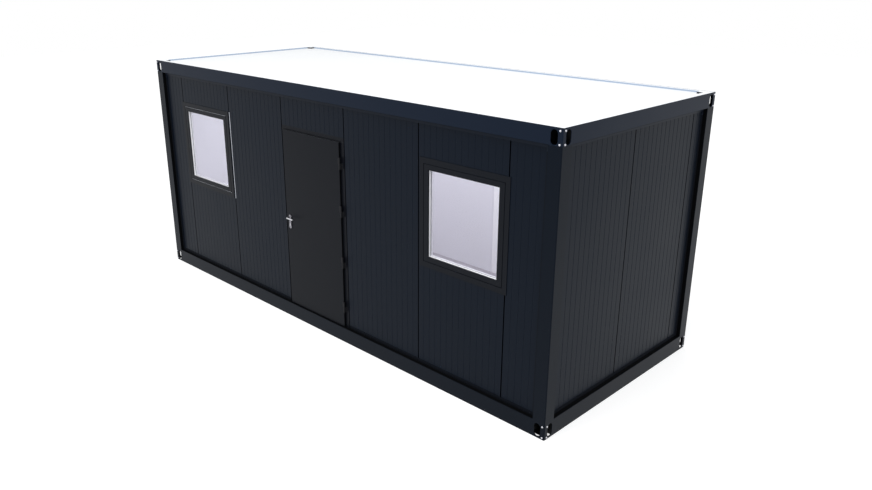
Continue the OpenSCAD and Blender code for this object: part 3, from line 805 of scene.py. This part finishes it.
class CABIN_OT_lock_fittings(bpy.types.Operator):
    """Put the key slots in the lock and the screws in the inner plate"""
    bl_idname, bl_label = "cabin.lock_fittings", "Lock fittings"

    PLUG_RADIUS, PLUG_HEIGHT, PLUG_SIDES, PLUG_CROWN = 0.0066, 0.0010, 28, 0.1
    SLOT_WIDE, SLOT_TALL, SLOT_DEEP, SLOT_PLACE, SLOT_INSET = 0.0018, 0.0085, 0.0004, 1.15, 0.2
    PLATE_SCREW, PLATE_SCREW_HEIGHT = 0.0040, 0.0014
    UPPER_DROP, LOWER_RISE = 0.063, 0.013

    def execute(self, context):
        x = (LOCK_LOW.x + LOCK_HIGH.x) / 2
        z = LOCK_HIGH.z - LOCK_RADIUS
        outer, inner = LOCK_LOW.y, LOCK_HIGH.y
        faces = [at((x, outer, z), (0, -1, 0)), at((x, inner, z), (0, 1, 0))]
        plug_disc = screw_head(self.PLUG_RADIUS, self.PLUG_HEIGHT, self.PLUG_SIDES, self.PLUG_CROWN)
        settle(copies(plug_disc, faces), "lock_plugs", "door", "handle_metal")

        front = self.PLUG_HEIGHT * self.SLOT_PLACE
        half_tall, half_wide = self.SLOT_TALL / 2, self.SLOT_WIDE / 2
        # Painted shade: each key slot is a thin black bar on the plug, standing in for the shade inside
        # the keyway.
        slot = bar((-half_tall, -half_wide, front),
                   (half_tall, half_wide, front + self.SLOT_DEEP), self.SLOT_WIDE * self.SLOT_INSET)
        slots = copies(slot, faces)
        settle(slots, "key_slots", "door", "seal_rubber")

        screw_zs = (PLATES_HIGH.z - self.UPPER_DROP, PLATES_LOW.z + self.LOWER_RISE)
        places = [at((x, PLATES_HIGH.y, screw_z), (0, 1, 0)) for screw_z in screw_zs]
        heads = copies(countersunk_head(self.PLATE_SCREW, self.PLATE_SCREW_HEIGHT), places)
        settle(heads, "plate_screws", "door", "handle_metal")
        return {"FINISHED"}


class CABIN_OT_stage(bpy.types.Operator):
    """Set the floor, the lights and the camera"""
    bl_idname, bl_label = "cabin.stage", "Stage"

    def execute(self, context):
        light = context.scene.cabin_light
        context.scene.view_settings.view_transform = "Standard"
        pale_floor()
        backdrop(context.scene, light.sky)
        lamp("key", KEY_PLACE, KEY_TARGET, light.key, KEY_SIZE)
        lamp("room", ROOM_LAMP_PLACE, ROOM_LAMP_TARGET, light.room, ROOM_LAMP_SIZE)
        photo_camera(context.scene)
        return {"FINISHED"}


class CABIN_PT_panel(bpy.types.Panel):
    """Lists the cabin's settings and steps"""
    bl_idname, bl_label = "CABIN_PT_panel", "Container cabin"
    bl_space_type, bl_region_type, bl_category = "VIEW_3D", "UI", "Cabin"

    def draw(self, context):
        scene = context.scene
        for group in (scene.cabin_looks, scene.cabin_sizes, scene.cabin_light):
            for name in group.__annotations__:
                self.layout.prop(group, name)
        for operator in STEPS:
            self.layout.operator(operator.bl_idname)


# Stage: the camera that was fitted to the photograph, the lamps and the white floor

CAMERA_PLACE = (6.1766, -5.8511, 3.7066)
CAMERA_YAW, CAMERA_PITCH, CAMERA_ROLL = 45.1614, -19.4777, -0.0614
# In pixels: the photograph, the focal length and the point that the camera looks straight at
IMAGE_WIDE, IMAGE_TALL = 872, 490
FOCAL, MIDDLE_X, MIDDLE_Y = 783.0138, 415.149, 240.924
# In millimetres, as Blender gives a lens
SENSOR = 36.0
KEY_PLACE, KEY_TARGET, KEY_SIZE = (2.0, -4.0, 9.0), (0, 0, 1.0), (7.0, 7.0)
ROOM_LAMP_PLACE, ROOM_LAMP_TARGET, ROOM_LAMP_SIZE = (0.0, 0.0, 2.45), (0, 0, 0), (5.0, 1.6)
FLOOR_SIZE, FLOOR_DROP, FLOOR_WHITE = 60.0, 0.0005, 0.62
SKY_TINT = (0.97, 0.985, 1.0)


def seen_ray(tree):
    """1 for the rays that show the background to the camera, to metal and through glass."""
    path = tree.nodes.new("ShaderNodeLightPath")
    camera, glossy, through = (
        Value(tree, path.outputs[name])
        for name in ("Is Camera Ray", "Is Glossy Ray", "Is Transmission Ray"))
    return camera.either(glossy).either(through)


def pale_floor():
    """A floor just under the feet that looks white and still takes the cabin's shadow."""
    bpy.ops.mesh.primitive_plane_add(size=FLOOR_SIZE, location=(0, 0, -FLOOR_DROP))
    floor = bake(bpy.context.object)
    floor.name = "stage_floor"
    paper = Finish("stage_paper", Roughness=0.9, IOR=1.3)
    paper.feed("Base Color", (FLOOR_WHITE, FLOOR_WHITE, FLOOR_WHITE))
    paper.feed("Emission Color", (1, 1, 1))
    paper.feed("Emission Strength", FLOOR_WHITE * seen_ray(paper.tree))
    floor.data.materials.append(paper.material)


def backdrop(scene, sky):
    """Even world: white where it is seen, and as strong as the sky where it only lights."""
    scene.world = bpy.data.worlds.new("studio")
    scene.world.use_nodes = True
    tree = scene.world.node_tree
    background = tree.nodes["Background"]
    seen = seen_ray(tree)
    plug(tree, background.inputs["Color"], mix(tree, seen, SKY_TINT, (1, 1, 1)))
    plug(tree, background.inputs["Strength"], sky + (1.0 - sky) * seen)


def lamp(name, place, target, watts, size):
    """A rectangular soft lamp that looks at a target."""
    data = bpy.data.lights.new(name, "AREA")
    data.energy = watts
    data.shape = "RECTANGLE"
    data.size, data.size_y = size
    light = bpy.data.objects.new(name, data)
    bpy.context.scene.collection.objects.link(light)
    light.location = place
    light.rotation_euler = (Vector(target) - Vector(place)).to_track_quat("-Z", "Y").to_euler()


def photo_camera(scene):
    """The camera that was fitted to the photograph."""
    data = bpy.data.cameras.new("photo_view")
    data.sensor_width = SENSOR
    data.lens = FOCAL / IMAGE_WIDE * SENSOR
    data.shift_x = (IMAGE_WIDE / 2 - MIDDLE_X) / IMAGE_WIDE
    data.shift_y = (MIDDLE_Y - IMAGE_TALL / 2) / IMAGE_WIDE
    data.clip_end = 200.0
    camera = bpy.data.objects.new("photo_view", data)
    scene.collection.objects.link(camera)
    camera.location = CAMERA_PLACE
    camera.rotation_mode = "QUATERNION"
    turn = Matrix.Rotation(math.radians(CAMERA_YAW), 4, "Z")
    tilt = Matrix.Rotation(math.radians(90.0 + CAMERA_PITCH), 4, "X")
    roll = Matrix.Rotation(math.radians(CAMERA_ROLL), 4, "Z")
    camera.rotation_quaternion = (turn @ tilt @ roll).to_quaternion()
    scene.camera = camera


# Registration

STEPS = (
    CABIN_OT_finishes,
    CABIN_OT_casting_bolts,
    CABIN_OT_window_sealant_and_highlights,
    CABIN_OT_joint_covers,
    CABIN_OT_door_seals,
    CABIN_OT_hinge_fittings,
    CABIN_OT_lock_fittings,
    CABIN_OT_stage,
)
CLASSES = (CabinLooks, CabinSizes, CabinLight, *STEPS, CABIN_PT_panel)


def register():
    for cls in CLASSES:
        bpy.utils.register_class(cls)
    bpy.types.Scene.cabin_looks = bpy.props.PointerProperty(type=CabinLooks)
    bpy.types.Scene.cabin_sizes = bpy.props.PointerProperty(type=CabinSizes)
    bpy.types.Scene.cabin_light = bpy.props.PointerProperty(type=CabinLight)


def unregister():
    del bpy.types.Scene.cabin_looks
    del bpy.types.Scene.cabin_sizes
    del bpy.types.Scene.cabin_light
    for cls in reversed(CLASSES):
        bpy.utils.unregister_class(cls)


def main():
    register()
    for step in STEPS:
        area, name = step.bl_idname.split(".")
        getattr(getattr(bpy.ops, area), name)()


if __name__ == "__main__":
    main()
